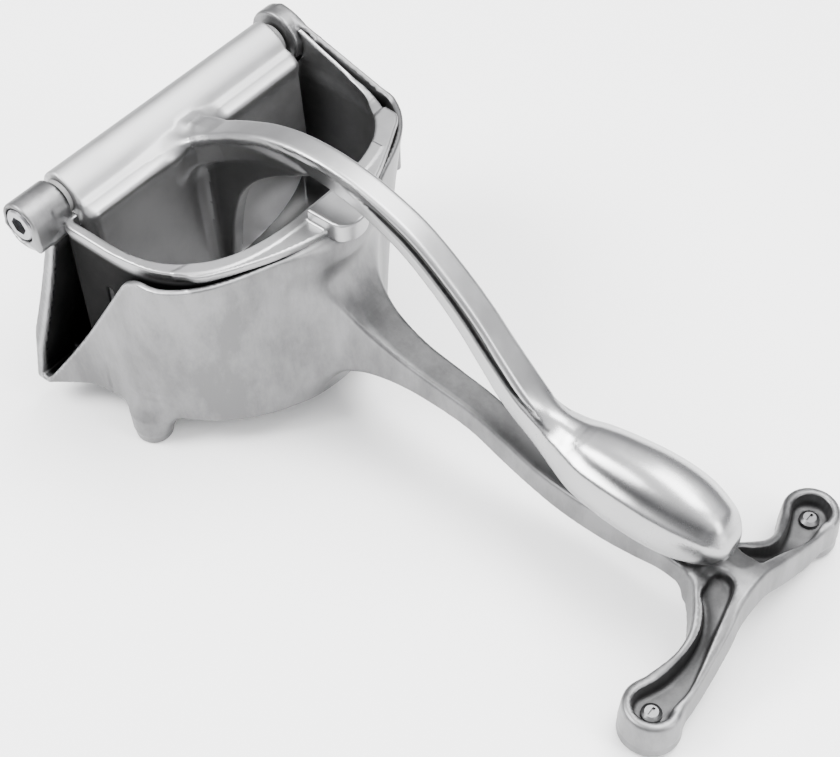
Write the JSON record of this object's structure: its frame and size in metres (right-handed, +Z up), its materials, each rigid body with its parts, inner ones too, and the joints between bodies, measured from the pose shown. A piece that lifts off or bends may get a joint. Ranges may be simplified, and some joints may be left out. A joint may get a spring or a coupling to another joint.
{
  "type": "citrus press juicer",
  "caption": "Hand citrus press with a cast pot, pouring mouth, strainer basket, hinged press lever and forked tail.",
  "frame": {"origin": "centre of the overall box, at the height of the surface the press stands on", "axes": "+X from the hinge to the forked tail, +Y towards the plain side of the pot, +Z up"},
  "size_m": [0.2224, 0.1146, 0.0977],
  "materials": {
    "pot_body": "cast, satin",
    "strainer_basket": "cast, polished rim",
    "press_lever": "cast, polished",
    "hinge_screw_left": "dark",
    "hinge_screw_right": "dark",
    "hinge_washer_left": "plain",
    "hinge_washer_right": "plain",
    "tail_foot_pad_left": "plain",
    "tail_foot_pad_right": "plain",
    "tail_foot_screw_left": "plain",
    "tail_foot_screw_right": "plain"
  },
  "bodies": {
    "body": {"pot_body": "pot_body", "strainer_basket": "strainer_basket", "hinge_washer_left": "hinge_washer_left", "hinge_washer_right": "hinge_washer_right", "tail_foot_pad_left": "tail_foot_pad_left", "tail_foot_pad_right": "tail_foot_pad_right", "tail_foot_screw_left": "tail_foot_screw_left", "tail_foot_screw_right": "tail_foot_screw_right"},
    "lever": {"press_lever": "press_lever", "hinge_screw_left": "hinge_screw_left", "hinge_screw_right": "hinge_screw_right"}
  },
  "joints": [
    {"name": "lever_hinge", "type": "hinge", "parent": "body", "child": "lever", "pos_m": [-0.10149, 0.003, 0.0788], "axis": [0, -1, 0], "range_deg": [0, 110]}
  ]
}
